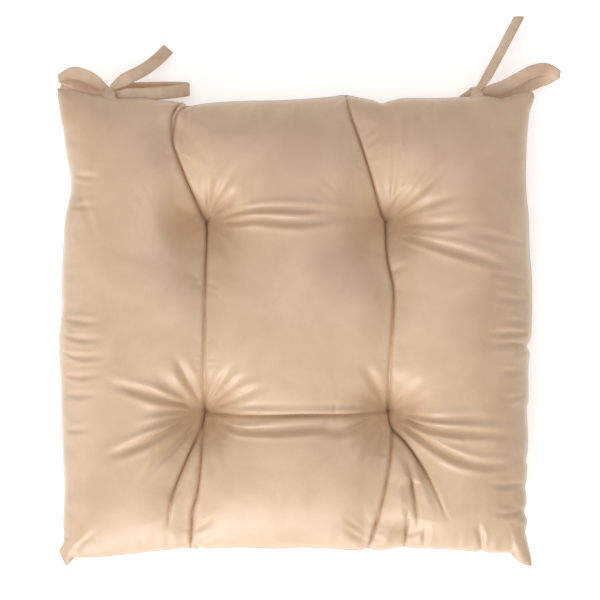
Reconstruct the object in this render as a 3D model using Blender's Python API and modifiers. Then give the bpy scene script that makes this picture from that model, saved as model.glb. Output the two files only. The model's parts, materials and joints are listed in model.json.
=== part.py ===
"""Tufted chair seat pad with two tied bows, modelled as its sewn and stuffed pieces.

Metres, +Z up. The origin is the middle of the flat underside. +Y is the rear of the chair, where the bows are.
"""

from math import cos, pi, sin

import bmesh
import bpy
from mathutils import Vector

# ---- Driving dimensions ----
PAD_WIDTH = 0.396  # across X, from corner to corner
PAD_DEPTH = 0.392  # along Y, from corner to corner
SIDE_PULL = 0.020  # share by which the stuffing draws the middle of each side edge in
END_PULL = 0.048  # the same for the front and rear edges
CORNER_POWER = 5.0  # higher leaves shorter pointed corners between straighter edges
CROWN_HEIGHT = 0.080  # underside to the top of the crown
SEAM_HEIGHT = 0.034  # underside to the seam that joins the two covers
SEAM_BAND = 0.0018  # upright edge of each cover beside the seam
EDGE_POWER = 4.0  # higher is flatter on top and rounder at the edge
EDGE_FULLNESS = 0.5
FABRIC = 0.0012  # cover fabric with its pile
FILL_CLEARANCE = 0.0005
SEAM_GAP = 0.0004  # between the two covers
SEAM_ALLOWANCE = 0.0060  # turned in beside the seam, flat inside the pad
TOUCH_GAP = 0.0004  # between pieces that rest on each other

TUFT_X = 0.0762  # each side of the middle
TUFT_REAR_Y = 0.0850
TUFT_FRONT_Y = -0.0745
TUFT_SINK = 0.044  # how far a tuft pulls the top down
TUFT_LIFT = 0.012  # how far it pulls the underside up
TUFT_FLAT = 0.0065  # half side of the small flat under each stitch
TUFT_REACH = 0.056  # radius of each dimple on top
TUFT_REACH_UNDER = 0.034  # radius of each dimple underneath
GUTTER_SINK = 0.009  # how far the top is drawn down between tufts and towards the edges
GUTTER_REACH = 0.030  # half width of a gutter

THREAD_RADIUS = 0.0006
STITCH_SPAN = 0.005  # between the two legs of a tuft stitch
KNOT_RADIUS = 0.0016
HOLE_CLEARANCE = 0.0004
SEAM_THREAD_RADIUS = 0.0005
SEAM_THREAD_INSET = 0.0040  # from the seam edge, on the turned-in allowance

STRAP_WIDTH = 0.011
STRAP_THICKNESS = 0.0018
NECK_THICKNESS = 0.0028  # two layers of strap together
TIE_X = {"left": -0.1565, "right": 0.1505}  # where each tie is sewn into the rear seam
ANCHOR_DEPTH = 0.0055  # sewn length inside the seam
ANCHOR_REACH = 0.0015  # sewn length that shows outside it
HINGE_OUT = 0.0018  # from the sewn end to the line the bow swings about
NECK_OUT = 0.0004  # from that line to the doubled neck
BOW_KNOT_WIDTH = 0.86 * STRAP_WIDTH  # along X
BOW_KNOT_DEPTH = 0.82 * STRAP_WIDTH  # along Y
BOW_KNOT_HEIGHT = 0.86 * STRAP_WIDTH
BOW_KNOT_OUT = 0.0055  # from the sewn end to the knot's middle
BOW_KNOT_DROP = 0.0080  # from the seam down to the knot's middle

COVER_COLOUR = (0.66, 0.47, 0.33)
FILL_COLOUR = (0.90, 0.90, 0.88)
THREAD_COLOUR = (0.50, 0.34, 0.23)


# ---- Scene and helpers ----
def clear_scene():
    for obj in list(bpy.data.objects):
        bpy.data.objects.remove(obj, do_unlink=True)


def new_collection(name):
    collection = bpy.data.collections.new(name)
    bpy.context.scene.collection.children.link(collection)
    return collection


def make_material(name, colour, roughness):
    material = bpy.data.materials.new(name)
    material.use_nodes = True
    shader = material.node_tree.nodes["Principled BSDF"]
    shader.inputs["Base Color"].default_value = (*colour, 1.0)
    shader.inputs["Roughness"].default_value = roughness
    shader.inputs["Metallic"].default_value = 0.0
    return material


def mesh_object(name, bm, material, collection, origin=None):
    """An object from the bmesh's world positions. origin is where a moving piece's own zero goes."""
    origin = origin or Vector((0, 0, 0))
    bmesh.ops.translate(bm, vec=-origin, verts=bm.verts)
    mesh = bpy.data.meshes.new(name)
    bm.to_mesh(mesh)
    bm.free()
    obj = bpy.data.objects.new(name, mesh)
    obj.location = origin
    obj.data.materials.append(material)
    collection.objects.link(obj)
    return obj


def as_cutter(obj):
    obj.hide_render = True
    obj.display_type = "WIRE"
    return obj


def add_boolean(obj, operation, other):
    modifier = obj.modifiers.new(f"{operation.lower()}_{other.name}", "BOOLEAN")
    modifier.operation = operation
    modifier.solver = "EXACT"
    modifier.object = other


def curve_to_mesh_object(curve_obj, material, collection):
    """The curve's tube as a closed mesh object, which a Boolean can use."""
    graph = bpy.context.evaluated_depsgraph_get()
    name = curve_obj.name
    mesh = bpy.data.meshes.new_from_object(curve_obj.evaluated_get(graph))
    bpy.data.objects.remove(curve_obj, do_unlink=True)
    bm = bmesh.new()
    bm.from_mesh(mesh)
    bmesh.ops.remove_doubles(bm, verts=bm.verts, dist=1e-6)
    bmesh.ops.recalc_face_normals(bm, faces=bm.faces)
    bpy.data.meshes.remove(mesh)
    return mesh_object(name, bm, material, collection)


# ---- Shape of the pad ----
def outline_point(u, v):
    """Plan position for u and v from -1 to 1: a square whose sides are drawn in between its corners."""
    x = PAD_WIDTH / 2 * u * (1 - SIDE_PULL * (1 - abs(v) ** CORNER_POWER))
    y = PAD_DEPTH / 2 * v * (1 - END_PULL * (1 - abs(u) ** CORNER_POWER))
    return x, y


def fullness(u, v):
    """0 at the seam and 1 in the middle of the pad."""
    return ((1 - abs(u) ** EDGE_POWER) * (1 - abs(v) ** EDGE_POWER)) ** EDGE_FULLNESS


def fade(distance, near, far):
    """1 up to near, falling smoothly to 0 at far."""
    share = min(max((distance - near) / (far - near), 0.0), 1.0)
    return 1 - share * share * (3 - 2 * share)


def dimple(x, y, reach):
    """1 at a tuft and 0 further from every tuft than reach."""
    distances = [Vector((x - tuft_x, y - tuft_y)).length for tuft_x, tuft_y in tuft_places()]
    return fade(min(distances), 1.5 * TUFT_FLAT, reach)


def gutter(x, y):
    """1 along both columns of tufts and the front row, 0 further away than a gutter's half width."""
    column = fade(abs(abs(x) - TUFT_X), TUFT_FLAT, GUTTER_REACH)
    beyond_row = max(abs(x) - TUFT_X, 0.0)
    row = fade(Vector((beyond_row, y - TUFT_FRONT_Y)).length, TUFT_FLAT, GUTTER_REACH)
    return max(column, row)


def tuft_places():
    return [(x, y) for y in (TUFT_REAR_Y, TUFT_FRONT_Y) for x in (-TUFT_X, TUFT_X)]


def top_height(u, v):
    x, y = outline_point(u, v)
    rim = SEAM_HEIGHT + SEAM_GAP / 2 + SEAM_BAND
    full = fullness(u, v)
    sink = max(TUFT_SINK * dimple(x, y, TUFT_REACH), GUTTER_SINK * gutter(x, y) * full)
    return rim + (CROWN_HEIGHT - rim) * full - sink


def under_height(u, v):
    """The underside lies flat at 0, lifts to the seam at its edge and to each tuft."""
    x, y = outline_point(u, v)
    rim = SEAM_HEIGHT - SEAM_GAP / 2 - SEAM_BAND
    flat_share = 1.10  # above 1, so that the middle is clipped to one flat face
    rounded = rim * (1 - flat_share * fullness(u, v))
    return max(rounded, 0.0) + TUFT_LIFT * dimple(x, y, TUFT_REACH_UNDER)


def share_of(place, pull, half_size):
    """The u or v whose plan position near a tuft is place."""
    return place / (half_size * (1 - pull))


def grid_lines(flats):
    """Places from -1 to 1 that crowd at the rim and run each side of every tuft."""
    rim_lines = (0.90, 0.96, 0.99, 1.0)
    steps_between = 5
    stops = [-0.82, *sorted(flats), 0.82]
    lines = [-line for line in reversed(rim_lines)]
    for low, high in zip(stops[:-1], stops[1:]):
        steps = steps_between if high - low > 0.1 else 1
        lines += [low + (high - low) * step / steps for step in range(steps)]
    return lines + [stops[-1], *rim_lines]


def pad_grid(height_at):
    """An open sheet over the whole pad, whose faces point up."""
    flats_x = []
    for x in (-TUFT_X, TUFT_X):
        flats_x += [
            share_of(x - TUFT_FLAT, SIDE_PULL, PAD_WIDTH / 2),
            share_of(x + TUFT_FLAT, SIDE_PULL, PAD_WIDTH / 2),
        ]
    flats_y = []
    for y in (TUFT_FRONT_Y, TUFT_REAR_Y):
        flats_y += [
            share_of(y - TUFT_FLAT, END_PULL, PAD_DEPTH / 2),
            share_of(y + TUFT_FLAT, END_PULL, PAD_DEPTH / 2),
        ]
    lines_u, lines_v = grid_lines(flats_x), grid_lines(flats_y)
    bm = bmesh.new()
    bmesh.ops.create_grid(bm, x_segments=len(lines_u) - 1, y_segments=len(lines_v) - 1, size=1)
    for vert in bm.verts:
        column = round((vert.co.x + 1) / 2 * (len(lines_u) - 1))
        row = round((vert.co.y + 1) / 2 * (len(lines_v) - 1))
        u, v = lines_u[column], lines_v[row]
        vert.co = Vector((*outline_point(u, v), height_at(u, v)))
    return bm


def boundary(bm):
    return [edge for edge in bm.edges if edge.is_boundary]


def grow_rim(bm):
    """Adds a ring of faces to the sheet's rim and gives back its new corners."""
    grown = bmesh.ops.extrude_edge_only(bm, edges=boundary(bm))["geom"]
    return [item for item in grown if isinstance(item, bmesh.types.BMVert)]


def add_seam_edge(bm, direction):
    """Runs the sheet's rim straight up or down to the seam, then turns the allowance in."""
    for vert in grow_rim(bm):
        vert.co.z += direction * SEAM_BAND
    for vert in grow_rim(bm):
        vert.co.x *= 1 - SEAM_ALLOWANCE / (PAD_WIDTH / 2)
        vert.co.y *= 1 - SEAM_ALLOWANCE / (PAD_DEPTH / 2)


# ---- Covers and filling ----
def make_cover(name, height_at, facing, material, collection):
    """A fabric shell: facing is 1 for the top cover and -1 for the bottom one."""
    bm = pad_grid(height_at)
    add_seam_edge(bm, -facing)
    bmesh.ops.recalc_face_normals(bm, faces=bm.faces)
    middle = min(bm.faces, key=lambda face: face.calc_center_median().xy.length)
    if middle.normal.z * facing < 0:
        bmesh.ops.reverse_faces(bm, faces=bm.faces)
    cover = mesh_object(name, bm, material, collection)
    shell = cover.modifiers.new("fabric", "SOLIDIFY")
    shell.thickness = FABRIC
    shell.offset = -1
    return cover


def inset_sheet(height_at, facing):
    """The cover's sheet moved inside its fabric, without the rings next to the seam."""
    bm = pad_grid(height_at)
    bm.normal_update()
    inset = FABRIC + FILL_CLEARANCE
    moved = {vert: vert.co - facing * vert.normal * inset for vert in bm.verts}
    for vert, place in moved.items():
        vert.co = place
    rings = 2
    for _ in range(rings):
        rim = {vert for edge in boundary(bm) for vert in edge.verts}
        bmesh.ops.delete(bm, geom=list(rim), context="VERTS")
    return bm


def make_filling(material, collection):
    """The fibre mass: both sheets moved inwards and closed by a side wall."""
    upper = inset_sheet(top_height, 1)
    lower = inset_sheet(under_height, -1)
    scratch = bpy.data.meshes.new("lower_sheet")
    lower.to_mesh(scratch)
    lower.free()
    upper.from_mesh(scratch)
    bpy.data.meshes.remove(scratch)
    bmesh.ops.bridge_loops(upper, edges=boundary(upper))
    bmesh.ops.recalc_face_normals(upper, faces=upper.faces)
    return mesh_object("fibre_filling", upper, material, collection)


# ---- Threads ----
def tube(name, points, radius, closed, material, collection, sides_level=1):
    curve = bpy.data.curves.new(name, "CURVE")
    curve.dimensions = "3D"
    curve.bevel_depth = radius
    curve.bevel_resolution = sides_level
    curve.use_fill_caps = not closed
    spline = curve.splines.new("POLY")
    spline.points.add(len(points) - 1)
    for point, place in zip(spline.points, points):
        point.co = (*place, 1.0)
    spline.use_cyclic_u = closed
    obj = bpy.data.objects.new(name, curve)
    obj.data.materials.append(material)
    collection.objects.link(obj)
    return obj


def make_tuft_stitch(name, x, y, material, parts, cutters):
    """A closed loop of strong thread, down one hole and up the other, with its knot underneath."""
    u, v = share_of(x, SIDE_PULL, PAD_WIDTH / 2), share_of(y, END_PULL, PAD_DEPTH / 2)
    top_z = top_height(u, v) + THREAD_RADIUS + 2 * TOUCH_GAP
    under_z = under_height(u, v) - THREAD_RADIUS - TOUCH_GAP
    half, turn = STITCH_SPAN / 2, THREAD_RADIUS
    points = [
        Vector((x, y - half, top_z - turn)),
        Vector((x, y - half + turn, top_z)),
        Vector((x, y + half - turn, top_z)),
        Vector((x, y + half, top_z - turn)),
        Vector((x, y + half, under_z + turn)),
        Vector((x, y + half - turn, under_z)),
        Vector((x, y - half + turn, under_z)),
        Vector((x, y - half, under_z + turn)),
    ]
    loop = tube(name, points, THREAD_RADIUS, True, material, parts)
    thread = curve_to_mesh_object(loop, material, parts)
    bm = bmesh.new()
    bmesh.ops.create_icosphere(bm, subdivisions=2, radius=KNOT_RADIUS)
    bmesh.ops.translate(bm, vec=(x, y, under_z - KNOT_RADIUS / 2), verts=bm.verts)
    knot = as_cutter(mesh_object(f"{name}_knot", bm, material, cutters))
    add_boolean(thread, "UNION", knot)
    return thread


def tuft_hole_cutters(name, x, y, material, cutters):
    """Two upright pins through the whole pad, for the legs of one stitch."""
    made = []
    for end in (-1, 1):
        bm = bmesh.new()
        radius = THREAD_RADIUS + HOLE_CLEARANCE
        bmesh.ops.create_cone(
            bm, cap_ends=True, segments=8, radius1=radius, radius2=radius, depth=2 * CROWN_HEIGHT
        )
        bmesh.ops.translate(bm, vec=(x, y + end * STITCH_SPAN / 2, CROWN_HEIGHT / 2), verts=bm.verts)
        made.append(as_cutter(mesh_object(f"{name}_hole_{end}", bm, material, cutters)))
    return made


def make_seam_thread(name, height, material, collection):
    """One ring of the lockstitch that closes the covers, on the face of one turned-in allowance."""
    inset_u = 1 - SEAM_THREAD_INSET / (PAD_WIDTH / 2)
    inset_v = 1 - SEAM_THREAD_INSET / (PAD_DEPTH / 2)
    corner = 0.035  # share of a side that each rounded corner takes
    steps = 12
    points = []
    for quarter in range(4):
        turn = quarter * pi / 2
        for step in range(5):
            angle = turn + pi / 2 * step / 4
            u = (1 - corner) * (1 if cos(turn + pi / 4) > 0 else -1) + corner * cos(angle)
            v = (1 - corner) * (1 if sin(turn + pi / 4) > 0 else -1) + corner * sin(angle)
            points.append((u, v))
        here = points[-1]
        following = turn + pi / 2
        there = (
            (1 - corner) * (1 if cos(following + pi / 4) > 0 else -1) + corner * cos(following),
            (1 - corner) * (1 if sin(following + pi / 4) > 0 else -1) + corner * sin(following),
        )
        for step in range(1, steps):
            share = step / steps
            points.append(tuple(a + (b - a) * share for a, b in zip(here, there)))
    places = [Vector((*outline_point(u * inset_u, v * inset_v), height)) for u, v in points]
    return tube(name, places, SEAM_THREAD_RADIUS, True, material, collection)


# ---- Ties ----
def smooth_route(route, steps):
    """Points on a smooth curve through the route's own points."""
    places = [Vector(place) for place in route]
    ends = [2 * places[0] - places[1], *places, 2 * places[-1] - places[-2]]
    made = []
    for before, low, high, after in zip(ends, ends[1:], ends[2:], ends[3:]):
        for step in range(steps):
            t = step / steps
            made.append(
                0.5
                * (
                    2 * low
                    + (high - before) * t
                    + (2 * before - 5 * low + 4 * high - after) * t**2
                    + (3 * low - before - 3 * high + after) * t**3
                )
            )
    return [*made, places[-1]]


def strap(name, route, across, origin, material, collection, thickness=STRAP_THICKNESS, steps=4):
    """A flat fabric strap along a route. across gives the width's direction at each route point."""
    places = smooth_route(route, steps)
    widths = smooth_route(across, steps)
    bm = bmesh.new()
    edge = None
    for index, place in enumerate(places):
        ahead = places[min(index + 1, len(places) - 1)] - places[max(index - 1, 0)]
        width = widths[index] - widths[index].project(ahead)
        half = width.normalized() * STRAP_WIDTH / 2
        if edge is None:
            edge = bm.edges.new([bm.verts.new(place - half), bm.verts.new(place + half)])
            continue
        grown = bmesh.ops.extrude_edge_only(bm, edges=[edge])["geom"]
        first, second = [item for item in grown if isinstance(item, bmesh.types.BMVert)]
        edge = next(item for item in grown if isinstance(item, bmesh.types.BMEdge))
        first.co, second.co = place - half, place + half
    bmesh.ops.recalc_face_normals(bm, faces=bm.faces)
    made = mesh_object(name, bm, material, collection, origin)
    cloth = made.modifiers.new("layers", "SOLIDIFY")
    cloth.thickness = thickness
    cloth.offset = 0
    return made


def rear_edge_y(x):
    """Where the rear seam runs at this x."""
    return outline_point(x / (PAD_WIDTH / 2), 1.0)[1]


def bow_hinge(side):
    """The middle of the line that a bow swings about, just outside its sewn end."""
    x = TIE_X[side]
    return Vector((x, rear_edge_y(x) + ANCHOR_REACH + HINGE_OUT, SEAM_HEIGHT))


def bow_knot_place(side):
    x = TIE_X[side]
    return Vector((x, rear_edge_y(x) + ANCHOR_REACH + BOW_KNOT_OUT, SEAM_HEIGHT - BOW_KNOT_DROP))


def from_knot(side, offsets):
    """Route points given from the middle of the knot, in millimetres for a strap 11 mm wide."""
    knot = bow_knot_place(side)
    scale = STRAP_WIDTH / 11
    return [knot + Vector(offset) * scale for offset in offsets]


def box(name, size, middle, material, collection, origin=None):
    bm = bmesh.new()
    bmesh.ops.create_cube(bm, size=1)
    bmesh.ops.scale(bm, vec=size, verts=bm.verts)
    bmesh.ops.translate(bm, vec=middle, verts=bm.verts)
    return mesh_object(name, bm, material, collection, origin)


def make_anchor(side, material, parts):
    """The end of the tie that is caught in the rear seam."""
    length = ANCHOR_DEPTH + ANCHOR_REACH
    middle = Vector((TIE_X[side], rear_edge_y(TIE_X[side]) + ANCHOR_REACH - length / 2, SEAM_HEIGHT))
    return box(f"{side}_tie_anchor", (STRAP_WIDTH, length, NECK_THICKNESS), middle, material, parts)


def anchor_slot(side, material, cutters):
    """The opening in the seam that the anchor comes through."""
    middle = Vector((TIE_X[side], rear_edge_y(TIE_X[side]), SEAM_HEIGHT))
    size = (
        STRAP_WIDTH + 2 * TOUCH_GAP,
        2 * (ANCHOR_DEPTH + TOUCH_GAP),
        NECK_THICKNESS + 2 * TOUCH_GAP,
    )
    return as_cutter(box(f"{side}_anchor_slot", size, middle, material, cutters))


def make_neck(side, material, parts):
    """The short doubled strap from the seam to the knot, which lets the bow swing."""
    knot, hinge = bow_knot_place(side), bow_hinge(side)
    start = hinge + Vector((0, NECK_OUT, 0))
    end = knot + Vector((0, 0, BOW_KNOT_HEIGHT / 2 + NECK_THICKNESS / 2 + TOUCH_GAP))
    end.y += BOW_KNOT_DEPTH / 2
    bend = start.lerp(end, 0.5) + Vector((0, 0, NECK_THICKNESS / 4))
    across = [(1, 0, 0)] * 3
    route = [start, bend, end]
    return strap(f"{side}_tie_neck", route, across, hinge, material, parts, NECK_THICKNESS, 2)


def make_bow_knot(side, material, parts):
    """The wrapped middle of the bow."""
    size = (BOW_KNOT_WIDTH, BOW_KNOT_DEPTH, BOW_KNOT_HEIGHT)
    knot = box(f"{side}_tie_knot", size, bow_knot_place(side), material, parts, bow_hinge(side))
    rounding = knot.modifiers.new("soft_edges", "BEVEL")
    rounding.width = 0.0022
    rounding.segments = 2
    return knot


# Each strap's route from the middle of its knot, and its width's direction there. A wider strap makes
# a larger bow, so the route is in millimetres for a strap 11 mm wide.
BOW_STRAPS = {
    "left_tie_inner_loop": [
        ((6.2, -0.5, 2.2), (0, 1, 0.15)),
        ((22, 0, -0.5), (0, 1, 0.15)),
        ((44, 0.5, -5), (0, 1, 0.15)),
        ((61, 1.5, -9.5), (0, 1, 0.15)),
        ((66, 2.5, -12.5), (0, 1, 0.1)),
        ((61, 4.5, -15.2), (0, 1, 0.05)),
        ((42, 7, -13), (0, 1, 0.05)),
        ((22, 5.5, -8.5), (0, 1, 0.05)),
        ((6.4, 2.5, -2.8), (0, 1, 0.05)),
    ],
    "left_tie_outer_loop": [
        ((-6.6, 3.0, 0.6), (0.1, 0.45, 0.9)),
        ((-16, 9.5, 0.6), (0.1, 0.45, 0.9)),
        ((-26, 15.5, -1.5), (0.1, 0.45, 0.9)),
        ((-36, 17.5, -6), (0.2, 0.45, 0.9)),
        ((-43, 14.0, -9.5), (0.2, 0.45, 0.9)),
        ((-40, 8.4, -10.5), (0.2, 0.45, 0.9)),
        ((-29, 4.6, -7.5), (0.1, 0.35, 0.93)),
        ((-17, 2.0, -4), (0.1, 0.35, 0.93)),
        ((-6.6, -0.8, -0.6), (0.1, 0.35, 0.93)),
    ],
    "left_tie_side_tail": [
        ((-4.5, 0.2, -6.8), (0.1, 1, 0.2)),
        ((-16, 2.6, -14.5), (0.1, 1, 0.1)),
        ((-30, 4.6, -18.5), (0.15, 1, 0.1)),
        ((-46, 6.5, -21.5), (0.12, 1, 0.0)),
    ],
    "right_tie_loop": [
        ((6.2, -0.6, 1.6), (-0.35, 0.9, 0.2)),
        ((24, 6.0, 0), (-0.35, 0.9, 0.2)),
        ((44, 13.5, -4), (-0.35, 0.9, 0.2)),
        ((60, 18.5, -8.5), (-0.35, 0.9, 0.2)),
        ((67.5, 17.5, -12.0), (-0.2, 0.9, 0.3)),
        ((65, 13.0, -15.0), (-0.35, 0.9, 0.1)),
        ((50, 8.2, -15), (-0.35, 0.9, 0.1)),
        ((26, 1.6, -10), (-0.35, 0.9, 0.1)),
        ((6.4, -1.6, -3.6), (-0.35, 0.9, 0.1)),
    ],
    "right_tie_under_tail": [
        ((-4.6, -1.4, -6.4), (0.5, -0.8, -0.35)),
        ((-12, -7.5, -12), (0.5, -0.8, -0.3)),
        ((-24, -14.5, -15.5), (0.35, -0.9, -0.1)),
        ((-40, -15.5, -17.5), (0.1, -1, 0)),
    ],
}
TAIL_STRAPS = {
    "left_tie_upper_tail": [
        ((5.6, 5.2, 5.4), (-0.60, 0.80, 0)),
        ((18, 14.5, 2.0), (-0.60, 0.80, 0)),
        ((31, 24, -8), (-0.62, 0.79, 0)),
        ((47.5, 38, -20.5), (-0.66, 0.75, 0)),
    ],
    "right_tie_upper_tail": [
        ((3.6, 7.0, 5.6), (0.86, -0.51, 0)),
        ((12.5, 22, 1), (0.86, -0.51, 0)),
        ((23, 41, -9), (0.86, -0.51, 0)),
        ((35, 62, -20.5), (0.86, -0.51, 0)),
    ],
}


def make_bow_straps(material, parts):
    """Each loop and trapped tail moves with its knot. Each free tail turns about its own root."""
    for name, stations in [*BOW_STRAPS.items(), *TAIL_STRAPS.items()]:
        side = name.split("_")[0]
        route = from_knot(side, [offset for offset, _ in stations])
        origin = route[0] if name in TAIL_STRAPS else bow_hinge(side)
        strap(name, route, [width for _, width in stations], origin, material, parts)


# ---- Build ----
def main():
    clear_scene()
    parts = new_collection("chair_seat_pad")
    cutters = new_collection("cutters")
    fabric = make_material("microfibre_cover", COVER_COLOUR, 0.85)
    fibre = make_material("polyester_fibre", FILL_COLOUR, 0.95)
    thread = make_material("polyester_thread", THREAD_COLOUR, 0.6)

    top = make_cover("top_cover", top_height, 1, fabric, parts)
    bottom = make_cover("bottom_cover", under_height, -1, fabric, parts)
    filling = make_filling(fibre, parts)

    for name, (x, y) in zip(("rear_left", "rear_right", "front_left", "front_right"), tuft_places()):
        make_tuft_stitch(f"{name}_tuft_stitch", x, y, thread, parts, cutters)
        for cutter in tuft_hole_cutters(name, x, y, thread, cutters):
            for piece in (top, bottom, filling):
                add_boolean(piece, "DIFFERENCE", cutter)

    ring_offset = NECK_THICKNESS / 2 + TOUCH_GAP + SEAM_THREAD_RADIUS
    make_seam_thread("seam_needle_thread", SEAM_HEIGHT + ring_offset, thread, parts)
    make_seam_thread("seam_bobbin_thread", SEAM_HEIGHT - ring_offset, thread, parts)

    for side in TIE_X:
        make_anchor(side, fabric, parts)
        slot = anchor_slot(side, fabric, cutters)
        add_boolean(top, "DIFFERENCE", slot)
        add_boolean(bottom, "DIFFERENCE", slot)
        make_neck(side, fabric, parts)
        make_bow_knot(side, fabric, parts)
    make_bow_straps(fabric, parts)


main()
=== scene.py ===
# %% [markdown]
# # A tufted chair seat pad with tied bows
# A square pad for a dining chair: two panels of brushed microfibre, sewn together round the edge,
# stuffed with loose fibre and pulled in at four tufts. A narrow strap at each rear corner is tied
# in a bow. This lesson builds the soft surfaces over the library's plain solids, which stay in
# the same places and drive how the ties move.

import json
import math

import bmesh
import bpy
import numpy as np
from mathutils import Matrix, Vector, noise


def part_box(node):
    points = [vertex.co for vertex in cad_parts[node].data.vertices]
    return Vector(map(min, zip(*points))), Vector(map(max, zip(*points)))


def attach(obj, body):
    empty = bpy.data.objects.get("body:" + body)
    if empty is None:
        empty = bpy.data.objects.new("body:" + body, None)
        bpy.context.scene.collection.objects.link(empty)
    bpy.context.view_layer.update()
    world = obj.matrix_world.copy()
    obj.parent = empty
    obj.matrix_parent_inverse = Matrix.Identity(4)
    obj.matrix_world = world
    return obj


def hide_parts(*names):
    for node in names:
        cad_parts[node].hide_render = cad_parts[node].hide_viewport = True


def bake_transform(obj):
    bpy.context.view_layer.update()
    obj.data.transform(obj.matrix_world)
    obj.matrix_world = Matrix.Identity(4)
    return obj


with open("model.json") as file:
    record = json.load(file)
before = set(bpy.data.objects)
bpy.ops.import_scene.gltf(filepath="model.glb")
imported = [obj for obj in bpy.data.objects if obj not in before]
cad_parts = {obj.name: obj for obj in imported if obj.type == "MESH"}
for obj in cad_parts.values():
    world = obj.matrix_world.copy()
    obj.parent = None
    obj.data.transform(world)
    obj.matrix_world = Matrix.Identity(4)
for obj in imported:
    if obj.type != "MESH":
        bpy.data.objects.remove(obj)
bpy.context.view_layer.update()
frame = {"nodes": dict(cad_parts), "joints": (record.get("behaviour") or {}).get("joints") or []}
print("solids:", len(frame["nodes"]))

# %% [markdown]
# ## Sizes
# All lengths are in metres. `s` and `t` run from -1 to 1 across and along a panel, so that one
# pair of shares names the same spot on the flat cloth and on the stuffed pad.

# %% Sizes
HALF_WIDTH = 0.198
HALF_DEPTH = 0.196
SEAM_HEIGHT = 0.034
CROWN_HEIGHT = 0.081
CELLS = 150
TUFTS = [(-0.0762, 0.0850), (0.0750, 0.0850), (-0.0770, -0.0745), (0.0758, -0.0745)]
TUFT_HEIGHT = 0.031
STRAP_WIDTH = 0.011


def smoothstep(low, high, value):
    share = np.clip((value - low) / (high - low), 0.0, 1.0)
    return share * share * (3 - 2 * share)


def smooth_route(route, spacing):
    """Evenly spaced points on a smooth curve through a route, and its length. Further values follow."""
    points = np.array(route, float)
    ends = np.vstack([2 * points[0] - points[1], points, 2 * points[-1] - points[-2]])
    t = np.linspace(0, 1, 24, endpoint=False)[:, None]
    dense = []
    for before, low, high, after in zip(ends[:-3], ends[1:-2], ends[2:-1], ends[3:]):
        bend = 2 * before - 5 * low + 4 * high - after
        twist = 3 * low - before - 3 * high + after
        dense.append(0.5 * (2 * low + (high - before) * t + bend * t**2 + twist * t**3))
    dense = np.vstack([*dense, points[-1:]])
    run = np.concatenate([[0], np.cumsum(np.linalg.norm(np.diff(dense[:, :3], axis=0), axis=1))])
    at = np.linspace(0, run[-1], max(int(run[-1] / spacing), 4))
    spaced = [np.interp(at, run, dense[:, k]) for k in range(dense.shape[1])]
    return np.stack(spaced, axis=1), float(run[-1])


def nearest_on(x, y, points):
    """The way from each x, y to the nearest spot of a line, and that spot's share of the line."""
    gap = np.full(np.shape(x), 9.0)
    to_x, to_y, along = np.zeros_like(gap), np.zeros_like(gap), np.zeros_like(gap)
    lengths = [math.dist(a, b) for a, b in zip(points[:-1], points[1:])]
    done = 0.0
    for (ax, ay), (bx, by), length in zip(points[:-1], points[1:], lengths):
        share = np.clip(((x - ax) * (bx - ax) + (y - ay) * (by - ay)) / length**2, 0, 1)
        way_x, way_y = ax + share * (bx - ax) - x, ay + share * (by - ay) - y
        found = np.hypot(way_x, way_y)
        nearer = found < gap
        gap = np.where(nearer, found, gap)
        to_x, to_y = np.where(nearer, way_x, to_x), np.where(nearer, way_y, to_y)
        along = np.where(nearer, (done + share * length) / sum(lengths), along)
        done += length
    return gap, to_x, to_y, along


# %% [markdown]
# ## Finishes
# The cover is a short brushed microfibre. Its nap stands in slightly different directions from
# place to place, which gives soft tonal patches, a fine grain, and a pale bloom where the surface
# turns away.

# %% Finishes
# The real size of each pattern, in millimetres.
COVER_PATCH_MM = 45
STRAP_PATCH_MM = 14
GRAIN_MM = 1.1
PLY_MM = 4.0
CLUMP_MM = 12.0


def linear(hex_colour):
    """An sRGB colour such as D2B496 as the linear values that a shader takes."""
    values = [int(hex_colour[i : i + 2], 16) / 255 for i in (0, 2, 4)]
    return (*[v / 12.92 if v <= 0.04045 else ((v + 0.055) / 1.055) ** 2.4 for v in values], 1.0)


def add_node(tree, kind, settings=None, values=None, links=None):
    """A shader node with its settings, its socket values and what feeds its sockets."""
    node = tree.nodes.new(kind)
    for name, value in (settings or {}).items():
        setattr(node, name, value)
    for socket, value in (values or {}).items():
        node.inputs[socket].default_value = value
    for socket, source in (links or {}).items():
        tree.links.new(source, node.inputs[socket])
    return node


def set_values(node, values):
    for socket, value in values.items():
        node.inputs[socket].default_value = value


def start_material(name):
    """A new material, its node tree, its shader, and the object's own coordinates in metres."""
    material = bpy.data.materials.new(name)
    material.use_nodes = True
    tree = material.node_tree
    place = add_node(tree, "ShaderNodeTexCoord").outputs["Object"]
    return material, tree, tree.nodes["Principled BSDF"], place


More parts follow.
